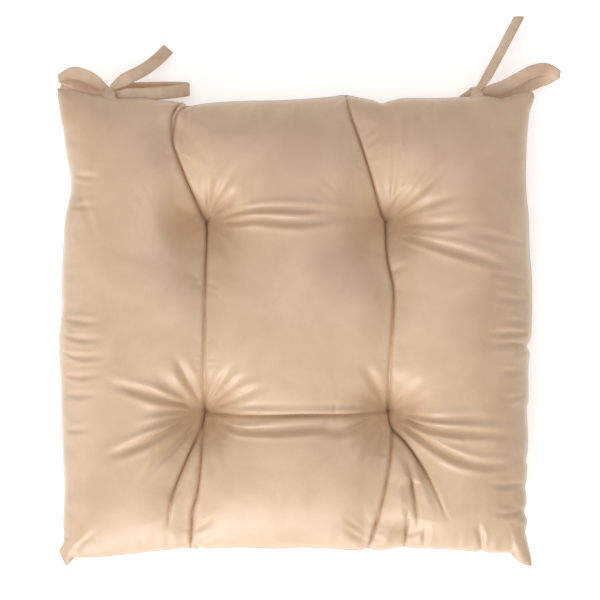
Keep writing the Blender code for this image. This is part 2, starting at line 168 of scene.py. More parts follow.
def brushed_microfibre(name, base, shade, patch_mm, grain_depth):
    """Brushed microfibre: soft patches where the nap was stroked, and a fine felted grain."""
    material, tree, shader, place = start_material(name)
    patches = add_node(
        tree,
        "ShaderNodeTexNoise",
        values={"Scale": 1000 / patch_mm, "Detail": 3.0, "Roughness": 0.6, "Distortion": 0.4},
        links={"Vector": place},
    )
    grain = add_node(
        tree,
        "ShaderNodeTexNoise",
        values={"Scale": 1000 / GRAIN_MM, "Detail": 4.0, "Roughness": 0.7},
        links={"Vector": place},
    )
    stroke = add_node(
        tree,
        "ShaderNodeMapRange",
        values={"From Min": 0.35, "From Max": 0.65},
        links={"Value": patches.outputs["Fac"]},
    )
    tone = add_node(
        tree,
        "ShaderNodeMix",
        {"data_type": "RGBA"},
        {"A": linear(base), "B": linear(shade)},
        {"Factor": stroke.outputs["Result"]},
    )
    speck = add_node(
        tree,
        "ShaderNodeMapRange",
        values={"From Min": 0.3, "From Max": 0.7, "To Min": 0.95, "To Max": 1.04},
        links={"Value": grain.outputs["Fac"]},
    )
    cloth = add_node(
        tree,
        "ShaderNodeHueSaturation",
        links={"Color": tone.outputs["Result"], "Value": speck.outputs["Result"]},
    )
    bump = add_node(
        tree,
        "ShaderNodeBump",
        values={"Strength": 0.15, "Distance": grain_depth},
        links={"Height": grain.outputs["Fac"]},
    )
    tree.links.new(cloth.outputs["Color"], shader.inputs["Base Color"])
    tree.links.new(bump.outputs["Normal"], shader.inputs["Normal"])
    # The pressed tips of the nap give a soft pale gloss, and its sides a bloom at the turning edges.
    set_values(shader, {"Roughness": 0.5, "Specular IOR Level": 1.0})
    set_values(shader, {"Coat Weight": 0.8, "Coat Roughness": 0.58, "Coat IOR": 1.6})
    set_values(shader, {"Sheen Weight": 0.5, "Sheen Roughness": 0.35, "Sheen Tint": linear("FBF3EA")})
    return material


def spun_thread(name, colour):
    """Polyester sewing thread: a slight gloss, with painted shade in the valleys between each ply and
    the next.
    """
    material, tree, shader, place = start_material(name)
    ply_groove_shade = add_node(
        tree,
        "ShaderNodeTexWave",
        {"bands_direction": "DIAGONAL"},
        {"Scale": 1000 / PLY_MM, "Distortion": 0.6},
        {"Vector": place},
    )
    # The darker brown, laid in wave bands, is painted shade in the grooves between the twisted strands.
    tone = add_node(
        tree,
        "ShaderNodeMix",
        {"data_type": "RGBA"},
        {"A": linear(colour), "B": linear("7A5A40")},
        {"Factor": ply_groove_shade.outputs["Fac"]},
    )
    tree.links.new(tone.outputs["Result"], shader.inputs["Base Color"])
    set_values(shader, {"Roughness": 0.45})
    return material


def fluffed_fibre(name):
    """Carded polyester fibre: white and matt, with cloudy clumps."""
    material, tree, shader, place = start_material(name)
    clumps = add_node(
        tree,
        "ShaderNodeTexNoise",
        values={"Scale": 1000 / CLUMP_MM, "Detail": 6.0},
        links={"Vector": place},
    )
    tone = add_node(
        tree,
        "ShaderNodeMix",
        {"data_type": "RGBA"},
        {"A": linear("F7F7F4"), "B": linear("E2E2DE")},
        {"Factor": clumps.outputs["Fac"]},
    )
    tree.links.new(tone.outputs["Result"], shader.inputs["Base Color"])
    set_values(shader, {"Roughness": 0.95})
    return material


cover_cloth = brushed_microfibre(
    "brushed microfibre, stuffed cover", "CDAC8A", "C19F7C", COVER_PATCH_MM, 0.00025
)
strap_cloth = brushed_microfibre(
    "brushed microfibre, pressed strap", "CFAF8E", "BE9D7C", STRAP_PATCH_MM, 0.0002
)
stitch_thread = spun_thread("polyester thread, twisted", "B08C6A")
fibre = fluffed_fibre("polyester fibre, carded")
print("finishes:", [m.name for m in bpy.data.materials])

# %% [markdown]
# ## The panel plan
# Both panels are cut as flat squares. Stuffing draws the seam in unevenly, more between the
# corners than at them, and leaves small ears at the front corners and a notch where a fold meets
# the edge. The four edges of the stuffed pad are given here, and the cloth between them is spread
# evenly.

# %% Plan of the panels
# Each edge of the stuffed pad from above, in millimetres.
EDGES = {
    "front": [
        (-192.5, -202), (-186.5, -195), (-181.5, -195), (-160, -194), (-135, -191.5),
        (-110, -188.5), (-90, -187), (-84, -188), (-81, -186), (-75, -187.5), (-47, -186.5),
        (-22, -187.5), (3, -186.5), (27, -187.5), (51, -189), (58.5, -187), (66, -189),
        (77, -188), (88.5, -185.5), (95, -187), (115, -187.5), (140, -189), (150, -190),
        (153.5, -188), (158.5, -190.5), (177.5, -191), (181.5, -195), (187.5, -200),
        (195.5, -202),
    ],
    "rear": [
        (-200, 196.5), (-196, 196.5), (-185, 194), (-174, 191), (-161.5, 189.5), (-155, 188),
        (-132, 188.5), (-113.5, 186.5), (-103.5, 186), (-95, 184.5), (-91, 181), (-85, 182.5),
        (-72, 184.5), (-47, 186), (-22, 186.5), (3, 187.5), (27, 189.5), (40, 191), (52, 189),
        (64, 186.5), (71, 184), (77, 186), (90, 188.5), (115, 188.5), (140, 189.5), (155, 190.5),
        (169, 188.5), (178.5, 190), (184, 192), (196, 194),
    ],
    "left": [
        (-192.5, -202), (-196, -195), (-198.5, -188.5), (-195.5, -184), (-194.5, -178),
        (-195, -163), (-194, -138), (-195, -113), (-196, -88), (-196.5, -63), (-197.5, -38),
        (-198.5, -13), (-196, 12), (-196, 37), (-195, 62), (-193.5, 87), (-191, 99),
        (-188.5, 111), (-189, 124), (-191.5, 137), (-193.5, 149), (-195, 162), (-197.5, 174),
        (-199, 186), (-200, 196.5),
    ],
    "right": [
        (195.5, -202), (195.5, -197.5), (192.5, -182.5), (190.5, -173), (192, -164),
        (189.5, -156), (191.5, -150), (191, -140), (190, -136), (191.5, -130), (192, -118),
        (191, -114), (192.5, -106), (192.5, -88), (191.5, -71), (193, -63), (193, -38),
        (194, -24), (191.5, -18.5), (195, -11), (196, 12), (196, 37), (194, 62), (193.5, 87),
        (191.5, 107), (191, 124), (191.5, 149), (192.5, 162), (194, 176), (196.5, 184),
        (198, 190), (196, 194),
    ],
}


def edge_of(name, shares):
    """Places on an edge at shares 0 to 1 of its span, from the left or from the front."""
    fine, _ = smooth_route(EDGES[name], 1.5)
    run = fine[:, 0] if name in ("front", "rear") else fine[:, 1]
    run = np.maximum.accumulate(run)
    spot = run[0] + shares * (run[-1] - run[0])
    return np.stack([np.interp(spot, run, fine[:, k]) for k in (0, 1)], axis=-1) / 1000


def stuffed_plan(cells):
    """The places of a grid spread between the four edges: each spot follows the edges that face it."""
    shares = np.linspace(0, 1, cells + 1)
    front, rear, left, right = (edge_of(name, shares) for name in ("front", "rear", "left", "right"))
    a, b = np.meshgrid(shares, shares)
    a, b = a[..., None], b[..., None]
    plan = (1 - b) * front[None] + b * rear[None] + (1 - a) * left[:, None] + a * right[:, None]
    near_corners = (1 - a) * (1 - b) * front[0] + a * (1 - b) * front[-1]
    plan -= near_corners + (1 - a) * b * rear[0] + a * b * rear[-1]
    return plan[..., 0], plan[..., 1]


def shares_of(cells):
    """How far each spot is across and along its panel, from -1 to 1, and its distance from the seam."""
    s, t = np.meshgrid(np.linspace(-1, 1, cells + 1), np.linspace(-1, 1, cells + 1))
    return s, t, np.minimum(1 - np.abs(s), 1 - np.abs(t)) * HALF_WIDTH


def fullness(s, t, power):
    return np.sqrt(np.clip((1 - np.abs(s) ** power) * (1 - np.abs(t) ** power), 0, None))


pad_x, pad_y = stuffed_plan(CELLS)
print("outline in mm:", [round(float(np.ptp(places)) * 1000, 1) for places in (pad_x, pad_y)])

# %% [markdown]
# ## Stuffing the top panel
# On the real pad the fibre presses the cover up, and the tuft stitches hold four spots down.
# Cloth that has to pass from the high crown to a low tuft has nowhere to go, so it gathers in
# folds that fan out from the tuft. A short cloth simulation makes just that: the rim and tufts
# are held, air stands in for fibre, and the panel is cut a little larger than the space it
# covers. Where the folds lie, the cloth is held down very lightly.

# %% Simulate the top panel
# Closed folds, from a tuft outwards: their depths from start to end and their places, in millimetres.
SLITS = [
    # Rear left, to the rear edge.
    (
        (4, 4, 5.5),
        [
            (-76, 86), (-78, 88), (-89, 114), (-97, 134), (-102, 148), (-104, 162), (-104, 173),
            (-100, 181), (-95, 186),
        ],
    ),
    # Rear left, the second ply of the fold at the rear edge.
    ((0, 4, 4), [(-101, 148), (-101, 163), (-99, 174), (-94, 179), (-91, 183)]),
    # Rear left, to the front left tuft.
    ((9, 6, 3.5, 2.5, 2, 3), [(-76, 84), (-75, 67), (-75, 36), (-75, 3), (-76, -38), (-77, -72)]),
    # Front left, outer.
    ((3, 5, 4, 0), [(-77, -73), (-79, -83), (-85, -98), (-97, -126), (-103, -144), (-106, -168)]),
    # Front left, inner.
    (
        (3, 4.5, 4.5, 4),
        [
            (-77, -75), (-78, -86), (-79, -116), (-82, -139), (-86, -153), (-87, -169),
            (-89, -187),
        ],
    ),
    # Rear right, to the rear edge.
    ((4, 4.5, 3), [(74, 86), (69, 95), (56, 137), (44, 173), (41, 189)]),
    # Rear right, to the front right tuft.
    ((8, 7, 4.5, 2.5, 2, 3), [(74, 84), (74, 56), (79, 28), (78, -1), (76, -34), (76, -72)]),
    # Front right, to the front edge.
    ((3, 4, 3.5), [(76, -73), (78, -97), (71, -141), (59, -187)]),
    # Front right, second.
    ((5, 6.5, 2.5, 0), [(76, -75), (78, -86), (91, -100), (108, -126), (125, -163)]),
    # Front right, third.
    ((0, 4, 2.5, 0), [(91, -112), (96, -141), (101, -170)]),
    # Front right, fourth.
    ((0, 4, 4), [(91, -153), (90, -174), (89, -187)]),
    # Between the front tufts.
    (
        (1.5, 2.6, 3, 2.6, 1.5),
        [
            (-76, -74), (-65, -75), (-29, -75), (18, -74), (57, -75), (75, -73),
        ],
    ),
]


def cloth_grid(name, cells):
    """A square grid of cloth, and the number of each corner by row and column."""
    bm = bmesh.new()
    bmesh.ops.create_grid(bm, x_segments=cells, y_segments=cells, size=1)
    numbers = np.zeros((cells + 1, cells + 1), int)
    for vert in bm.verts:
        numbers[round((vert.co.y + 1) / 2 * cells), round((vert.co.x + 1) / 2 * cells)] = vert.index
    mesh = bpy.data.meshes.new(name)
    bm.to_mesh(mesh)
    bm.free()
    obj = bpy.data.objects.new(name, mesh)
    bpy.context.scene.collection.objects.link(obj)
    return obj, numbers


def set_places(target, numbers, x, y, z):
    """Moves the corners of a grid's mesh, or those of one of its shape keys."""
    places = np.empty((numbers.size, 3))
    places[numbers.ravel()] = np.stack([x.ravel(), y.ravel(), z.ravel()], axis=1)
    target.foreach_set("co", places.ravel())


def get_places(vertices, numbers):
    places = np.empty(numbers.size * 3)
    vertices.foreach_get("co", places)
    return np.moveaxis(places.reshape(-1, 3)[numbers], -1, 0)


# How firmly, how deep and how widely the cloth is held along a fold.
FOLD_PULL = 0.025
FOLD_DEPTH = 0.013
FOLD_START = 0.22
FOLD_REACH = 0.0022
FULL_FOLD_MM = 6
# What a tuft stitch holds, how much larger the cloth is cut, and the air that stands in for fibre.
TUFT_HELD = 0.0042
SLACK = 0.07
PRESSURE = 20


def start_and_hold(x, y):
    """The start heights of the cloth, and how firmly each corner is held there."""
    s, t, from_rim = shares_of(CELLS)
    tuft_gap = np.min([np.hypot(x - a, y - b) for a, b in TUFTS], axis=0)
    height = SEAM_HEIGHT + 0.034 * fullness(s, t, 3.2) - 0.034 * np.exp(-((tuft_gap / 0.026) ** 2))
    hold = np.zeros_like(x)
    for depths, route in SLITS:
        gap, _, _, along = nearest_on(x, y, smooth_route(np.array(route) / 1000, 0.006)[0])
        depth = np.interp(along, np.linspace(0, 1, len(depths)), depths)
        near = np.exp(-((gap / FOLD_REACH) ** 2)) * np.clip(depth / FULL_FOLD_MM, 0, 1)
        near = near * smoothstep(0.0, 0.03, from_rim)
        hold = np.maximum(hold, FOLD_PULL * near)
        height = height - FOLD_DEPTH * near * FOLD_START
    on_rim = from_rim < 1e-6
    pinned = tuft_gap < TUFT_HELD
    hold[pinned | on_rim] = 1.0
    height[pinned] = TUFT_HEIGHT
    height[on_rim] = SEAM_HEIGHT
    return np.maximum(height, TUFT_HEIGHT), hold


def stuff(obj, numbers, hold, frames=30):
    """Presses the cloth up from below while its held spots stay, and gives the places it comes to."""
    obj.shape_key_add(name="stuffed")
    flat = obj.shape_key_add(name="cut flat")
    s, t, _ = shares_of(CELLS)
    slack_x = s * HALF_WIDTH * (1 + SLACK * (1 - np.abs(t) ** 6))
    slack_y = t * HALF_DEPTH * (1 + SLACK * (1 - np.abs(s) ** 6))
    set_places(flat.data, numbers, slack_x, slack_y, np.zeros_like(s))
    held = obj.vertex_groups.new(name="held")
    for number, weight in zip(numbers.ravel().tolist(), hold.ravel().tolist()):
        if weight > 0.001:
            held.add([number], weight, "REPLACE")
    cloth = obj.modifiers.new("stuffing", "CLOTH")
    settings = cloth.settings
    settings.quality = 5
    settings.mass = 0.3
    settings.tension_stiffness = 15
    settings.compression_stiffness = 15
    settings.shear_stiffness = 5
    settings.bending_stiffness = 2
    settings.air_damping = 2
    settings.use_pressure = True
    settings.uniform_pressure_force = PRESSURE
    settings.vertex_group_mass = "held"
    settings.rest_shape_key = flat
    settings.effector_weights.gravity = 0
    cloth.collision_settings.use_collision = False
    cloth.point_cache.frame_start = 1
    cloth.point_cache.frame_end = frames
    for number in range(1, frames + 1):
        bpy.context.scene.frame_set(number)
    done = obj.evaluated_get(bpy.context.evaluated_depsgraph_get())
    found = get_places(done.data.vertices, numbers)
    bpy.context.scene.frame_set(1)
    return found


def simulated_panel():
    blank, numbers = cloth_grid("panel_blank", CELLS)
    height, hold = start_and_hold(pad_x, pad_y)
    set_places(blank.data.vertices, numbers, pad_x, pad_y, height)
    found = stuff(blank, numbers, hold)
    bpy.data.objects.remove(blank)
    return found


panel = simulated_panel()
print("top panel rises to", round(float(panel[2].max()) * 1000, 1), "mm before it is dressed")

# %% [markdown]
# ## Dressing the folds
# The cloth is then finished, as an upholsterer strokes a pad into shape. The crown is brought
# to its height, each main fold is closed to a narrow line, and the long soft wrinkles that fan
# out from the tufts are drawn in. A finer grid takes the detail: each simulated cell is split in
# four along a smooth curve.

# %% Dress the top panel
# Open wrinkles: depth, half width and places in millimetres. A depth below zero makes a ridge.
WRINKLES = [
    (2.2, 3.4, [(-84, -70), (-106, -62), (-127, -55), (-147, -49), (-164, -45)]),
    (0.9, 3.0, [(-89, -72), (-114, -72), (-135, -73)]),
    (1.4, 3.0, [(-87, -77), (-117, -82), (-137, -88)]),
    (2.0, 3.4, [(-87, -78), (-97, -83), (-122, -95), (-147, -105), (-167, -112)]),
    (1.8, 3.4, [(-83, -81), (-95, -95), (-114, -113), (-132, -136)]),
    (1.0, 5.0, [(-89, -63), (-106, -49), (-122, -35)]),
    (1.3, 3.4, [(-81, -63), (-91, -42), (-102, -20)]),
    (1.4, 3.0, [(-73, -65), (-59, -44), (-50, -27)]),
    (1.4, 3.0, [(-71, -67), (-52, -50), (-37, -38)]),
    (1.2, 3.2, [(-68, -69), (-43, -57), (-21, -48)]),
    (1.0, 3.6, [(-76, -83), (-72, -107), (-67, -130)]),
    (1.8, 3.2, [(-71, -78), (-62, -82), (-47, -87), (-14, -86), (18, -84), (44, -85), (67, -78)]),
    (-0.9, 2.4, [(-66, -70.5), (-40, -70.5), (-8, -70.5), (12, -70.5)]),
    (-0.9, 2.4, [(66, -70.5), (40, -70.5), (8, -70.5), (-12, -70.5)]),
    (1.6, 3.2, [(67, -77), (40, -87), (17, -92)]),
    (1.2, 3.0, [(71, -81), (62, -97), (50, -116)]),
    (1.2, 2.6, [(72, -83), (67, -101), (58, -120)]),
    (1.0, 2.6, [(74, -85), (70, -105), (66, -122)]),
    (1.4, 3.6, [(72, -67), (64, -49), (52, -29)]),
    (1.0, 4.5, [(82, -70), (96, -63), (111, -57)]),
    (0.8, 3.6, [(81, -67), (94, -55), (108, -42)]),
    (2.2, 3.0, [(82, -77), (102, -84), (127, -88), (161, -90), (186, -93)]),
    (2.6, 3.2, [(81, -79), (87, -84), (103, -95), (127, -108), (153, -115), (189, -114)]),
    (0.9, 3.0, [(86, -75), (119, -77), (144, -77), (176, -79)]),
    (1.0, 2.6, [(96, -109), (103, -123), (112, -144), (118, -163)]),
    (1.2, 3.2, [(-71, 90), (-62, 97), (-44, 112)]),
    (1.2, 3.0, [(-72, 92), (-67, 102), (-54, 122), (-45, 135)]),
    (1.0, 3.2, [(-74, 94), (-72, 112), (-69, 141)]),
    (1.7, 3.2, [(-72, 84), (-51, 83), (-32, 85), (2, 83), (34, 87), (56, 86), (69, 85)]),
    (1.3, 3.0, [(-69, 87), (-49, 92), (-26, 94), (2, 93), (27, 92), (47, 91), (65, 87)]),
    (0.8, 3.5, [(-70, 77), (-62, 64), (-47, 48)]),
    (0.7, 4.0, [(-82, 87), (-92, 93), (-107, 103)]),
    (0.9, 2.6, [(-101, 185), (-100, 166), (-100, 148)]),
    (1.4, 3.0, [(-89, 185), (-94, 162), (-92, 132)]),
    (0.7, 3.0, [(78, 98), (82, 157), (84, 182)]),
    (0.6, 2.6, [(87, 145), (91, 166), (93, 183)]),
    (1.0, 3.0, [(81, 92), (95, 113), (108, 134)]),
    (1.2, 3.0, [(82, 91), (109, 117), (124, 131)]),
    (1.1, 3.4, [(84, 88), (111, 100), (142, 109)]),
    (1.4, 3.2, [(86, 82), (122, 82), (151, 85)]),
    (1.8, 3.4, [(82, 77), (88, 72), (122, 62), (157, 52), (192, 39)]),
    (0.8, 3.0, [(191, 65), (161, 72), (132, 77)]),
    (0.8, 2.6, [(194, 35), (173, 39), (152, 45)]),
    (0.8, 2.6, [(194, 18), (173, 21), (156, 24)]),
    (0.9, 2.4, [(194, 0), (179, 2), (165, 4)]),
    (1.2, 2.4, [(195, -7), (173, -8), (152, -7)]),
    (1.2, 2.4, [(194, -19), (173, -17), (154, -16)]),
    (0.8, 2.4, [(193, -42), (177, -39), (161, -40)]),
    (0.7, 2.4, [(192, -58), (177, -61), (162, -59)]),
    (0.8, 2.4, [(192, -132), (173, -133), (152, -130)]),
    (0.8, 2.2, [(191, -155), (173, -157), (156, -153)]),
    (1.0, 2.4, [(154, -187), (152, -175), (147, -163)]),
    (1.0, 2.4, [(105, -187), (106, -176), (106, -163)]),
    (0.9, 2.4, [(-196, 5), (-177, 2), (-157, 2)]),
    (0.9, 2.4, [(-196, -9), (-177, -12), (-154, -12)]),
    (1.0, 2.4, [(-197, -23), (-176, -27), (-152, -24)]),
    (0.9, 2.4, [(-197, -42), (-177, -43), (-156, -39)]),
    (0.8, 2.4, [(-197, -59), (-177, -58), (-160, -56)]),
    (0.8, 2.4, [(-197, -88), (-181, -87), (-166, -84)]),
    (0.7, 2.4, [(-189, 124), (-174, 122), (-159, 120)]),
    (0.7, 2.4, [(-190, 97), (-174, 97), (-161, 97)]),
    (0.8, 2.2, [(2, 187), (2, 174), (3, 160)]),
    (0.8, 2.2, [(-35, 187), (-33, 173), (-35, 162)]),
    (0.8, 2.2, [(112, 189), (111, 177), (113, 163)]),
]


def refine(grid):
    """Twice as many cells each way, with the new corners on a smooth curve through the old ones."""
    for axis in (0, 1):
        grid = np.moveaxis(grid, axis, 0)
        wide = np.concatenate([2 * grid[:1] - grid[1:2], grid, 2 * grid[-1:] - grid[-2:-1]])
        finer = np.empty((2 * len(grid) - 1, *grid.shape[1:]))
        finer[::2] = grid
        finer[1::2] = (9 * (wide[1:-2] + wide[2:-1]) - wide[:-3] - wide[3:]) / 16
        grid = np.moveaxis(finer, 0, axis)
    return grid


def noise_over(x, y, size, seed):
    """Smooth chance variation from about -1 to 1, with bumps of about the given size."""
    spots = zip(np.ravel(x / size).tolist(), np.ravel(y / size).tolist())
    return np.array([noise.noise(Vector((a, b, seed))) for a, b in spots]).reshape(np.shape(x))


# Wrinkles are drawn somewhat deeper than listed, with a raised lip on each side.
WRINKLE_GAIN = 1.5
WRINKLE_LIP = 0.4
# A closed fold is drawn in, sinks to a line with a soft shoulder, and lies in a broad valley.
DRAWN_IN = 0.85
DRAWN_REACH = 0.0032
LINE_DEPTH = 1.3
LINE_REACH = 0.0014
SHOULDER_DEPTH = 0.10
SHOULDER_REACH = 0.0060
VALLEY_DEPTH = 0.0085
VALLEY_REACH = 0.019
FULL_SLIT = 0.005
LOWEST_FOLD = 0.019


def close_slits(x, y, z, from_rim):
    """Sinks each closed fold to a narrow line, and draws in the cloth beside it."""
    moved_x, moved_y, valley = x.copy(), y.copy(), np.zeros_like(z)
    for depths, route in SLITS:
        fine, _ = smooth_route(np.array(route) / 1000, 0.004)
        gap, to_x, to_y, along = nearest_on(x, y, fine)
        depth = np.interp(along, np.linspace(0, 1, len(depths)), depths) / 1000
        beyond = (along <= 0) | (along >= 1)
        full = np.clip(depth / FULL_SLIT, 0.0, 1.0)
        pull = DRAWN_IN * np.exp(-((gap / DRAWN_REACH) ** 2)) * np.where(beyond, 0, 1) * full
        moved_x += to_x * pull
        moved_y += to_y * pull
        line = LINE_DEPTH * np.exp(-((gap / LINE_REACH) ** 2))
        z = z - depth * (line + SHOULDER_DEPTH * np.exp(-((gap / SHOULDER_REACH) ** 2)))
        valley = np.maximum(valley, np.exp(-((gap / VALLEY_REACH) ** 2)) * full)
    tuft_gap = np.min([np.hypot(x - a, y - b) for a, b in TUFTS], axis=0)
    away_from_tufts = smoothstep(0.010, 0.045, tuft_gap)
    z = z - VALLEY_DEPTH * valley * away_from_tufts * smoothstep(0.0, 0.030, from_rim)
    return moved_x, moved_y, np.where(from_rim > 0.02, np.maximum(z, LOWEST_FOLD), z)


def draw_wrinkles(x, y, z, inside):
    for depth, half_width, route in WRINKLES:
        fine, _ = smooth_route(np.array(route) / 1000, 0.005)
        gap, _, _, along = nearest_on(x, y, fine)
        wide = half_width / 1000 * (0.45 + 0.55 * smoothstep(0.0, 0.5, along))
        strength = smoothstep(0.0, 0.12, along) * (1 - smoothstep(0.45, 1.0, along)) * inside
        furrow = np.exp(-((gap / wide) ** 2))
        lip = np.exp(-(((gap - 2.0 * wide) / (0.9 * wide)) ** 2))
        z = z - WRINKLE_GAIN * depth / 1000 * strength * (furrow - WRINKLE_LIP * lip)
    return z


def dress(x, y, z):
    s, t, from_rim = shares_of(2 * CELLS)
    raised = (CROWN_HEIGHT - SEAM_HEIGHT) / (float(z.max()) - SEAM_HEIGHT)
    z = SEAM_HEIGHT + (z - SEAM_HEIGHT) * min(raised, 1.15)
    inside = smoothstep(0.0, 0.012, from_rim)
    z = draw_wrinkles(x, y, z, inside)
    edge_x = np.where(np.abs(s) > np.abs(t), 0.35 * x, x)
    edge_y = np.where(np.abs(s) > np.abs(t), y, 0.35 * y)
    gathers = noise_over(edge_x, edge_y, 0.0075, 5.0)
    z = z + gathers * 0.0010 * np.exp(-((from_rim / 0.016) ** 2)) * smoothstep(0.0, 0.004, from_rim)
    x, y, z = close_slits(x, y, z, from_rim)
    lift = noise_over(x, y, 0.020, 8.0) * 0.0012 * np.exp(-((from_rim / 0.006) ** 2))
    return x, y, z + lift, lift


top_x, top_y, top_z, rim_lift = dress(*(refine(grid) for grid in panel))
print("top panel rises to", round(float(top_z.max()) * 1000, 1), "mm, with", top_z.size, "spots")

# %% [markdown]
# ## The seam and the lower panel
# The panels meet in a knife-edge seam: each turns in over its allowance, so that only a fine line
# shows. The lower panel lies flat where the pad rests, lifts to the seam, and is drawn up a
# little under each tuft. Each bow presses a shallow hollow in it just below the seam.

# %% Sew the seam and shape the lower panel
ALLOWANCE = 0.005
# Where each bow lies across the pad, and how far its hollow reaches to each side.
BOW_HOLLOWS = [(-0.128, 0.052), (0.150, 0.032)]
HOLLOW_DEPTH = 0.008
HOLLOW_MIDDLE = 0.0045


def under_panel():
    """The lower panel on the same grid as the upper, so that both rims match spot for spot."""
    s, t, from_rim = shares_of(2 * CELLS)
    x, y = stuffed_plan(2 * CELLS)
    on_rim = from_rim < 1e-6
    x, y = np.where(on_rim, top_x, x), np.where(on_rim, top_y, y)
    tuft_gap = np.min([np.hypot(x - a, y - b) for a, b in TUFTS], axis=0)
    height = SEAM_HEIGHT * (1 - 1.10 * fullness(s, t, 4))
    between = smoothstep(0.0, 0.008, from_rim) * (1 - smoothstep(0.020, 0.060, from_rim))
    height = height + noise_over(x, y, 0.018, 21.0) * 0.0022 * between
    height = np.maximum(height, 0.0) + 0.012 * (1 - smoothstep(0.008, 0.034, tuft_gap))
    for bow_x, reach in BOW_HOLLOWS:
        across = np.exp(-(((x - bow_x) / reach) ** 4)) * (y > 0)
        inward = np.exp(-(((from_rim - HOLLOW_MIDDLE) / HOLLOW_MIDDLE) ** 2))
        height = height + HOLLOW_DEPTH * across * inward * smoothstep(0, 0.0015, from_rim)
    return x, y, height + rim_lift


def turn_in(obj, sink):
    """Turns the panel's rim in over its seam allowance."""
    bm = bmesh.new()
    bm.from_mesh(obj.data)
    rim = [edge for edge in bm.edges if edge.is_boundary]
    for share, drop in ((0.0006, 0.35), (ALLOWANCE, 0.5)):
        grown = bmesh.ops.extrude_edge_only(bm, edges=rim)["geom"]
        for vert in (item for item in grown if isinstance(item, bmesh.types.BMVert)):
            vert.co.x *= 1 - share / HALF_WIDTH
            vert.co.y *= 1 - share / HALF_DEPTH
            vert.co.z += sink * drop
        rim = [item for item in grown if isinstance(item, bmesh.types.BMEdge)]
    bmesh.ops.recalc_face_normals(bm, faces=bm.faces)
    highest = max(bm.faces, key=lambda face: face.calc_center_median().z * -sink)
    if highest.normal.z * -sink < 0:
        bmesh.ops.reverse_faces(bm, faces=bm.faces)
    bm.to_mesh(obj.data)
    bm.free()


def finish_cloth(obj, material, levels):
    obj.data.materials.append(material)
    obj.data.shade_smooth()
    if levels:
        rounding = obj.modifiers.new("rounding", "SUBSURF")
        rounding.levels = levels
        rounding.render_levels = levels


top, top_numbers = cloth_grid("top_cover_cloth", 2 * CELLS)
set_places(top.data.vertices, top_numbers, top_x, top_y, top_z)
bottom, bottom_numbers = cloth_grid("bottom_cover_cloth", 2 * CELLS)
under_x, under_y, under_z = under_panel()
set_places(bottom.data.vertices, bottom_numbers, under_x, under_y, under_z)
turn_in(top, -0.0003)
turn_in(bottom, 0.0003)
for cover, node in ((top, "top_cover"), (bottom, "bottom_cover")):
    finish_cloth(cover, cover_cloth, 0)
    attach(cover, "pad")
    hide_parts(node)
print("panels:", len(top.data.polygons), "and", len(bottom.data.polygons), "faces")

# %% [markdown]
# ## The filling
# The loose fibre takes the inside shape of the covers. It never shows, so a coarse body a few
# millimetres inside the cloth is enough.

# %% Fill the pad
def lowest_near(height, reach):
    """Each height lowered to the lowest within reach, so that the filling stays inside the folds."""
    for axis in (0, 1):
        margins = [(reach, reach) if k == axis else (0, 0) for k in (0, 1)]
        wide = np.pad(height, margins, mode="edge")
        size = height.shape[axis]
        shifted = [np.take(wide, range(k, k + size), axis=axis) for k in range(2 * reach + 1)]
        height = np.min(shifted, axis=0)
    return height


def make_filling():
    pick = np.arange(14, 2 * CELLS - 13, 8)
    size = len(pick)
    upper = lowest_near(top_z, 8)[pick][:, pick] - 0.003
    lower = -lowest_near(-under_z, 8)[pick][:, pick] + 0.002
    upper = np.maximum(upper, lower + 0.003)
    bm = bmesh.new()
    for height in (upper, lower):
        made = bmesh.ops.create_grid(bm, x_segments=size - 1, y_segments=size - 1, size=1)["verts"]
        for vert in made:
            row = round((vert.co.y + 1) / 2 * (size - 1))
            column = round((vert.co.x + 1) / 2 * (size - 1))
            spot = pick[row], pick[column]
            vert.co = (under_x[spot], under_y[spot], height[row, column])
    bmesh.ops.bridge_loops(bm, edges=[edge for edge in bm.edges if edge.is_boundary])
    bmesh.ops.recalc_face_normals(bm, faces=bm.faces)
    mesh = bpy.data.meshes.new("fibre_fill")
    bm.to_mesh(mesh)
    bm.free()
    obj = bpy.data.objects.new("fibre_fill", mesh)
    bpy.context.scene.collection.objects.link(obj)
    return obj


filling = make_filling()
finish_cloth(filling, fibre, 0)
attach(filling, "pad")
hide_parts("fibre_filling")
print("filling:", len(filling.data.polygons), "faces")

# %% [markdown]
# ## Threads
# Each tuft is a loop of strong thread that goes down through the pad and up again, knotted
# underneath. The seam has its needle and bobbin threads. They are round cords of thread, rolled
# from a small ring of faces.

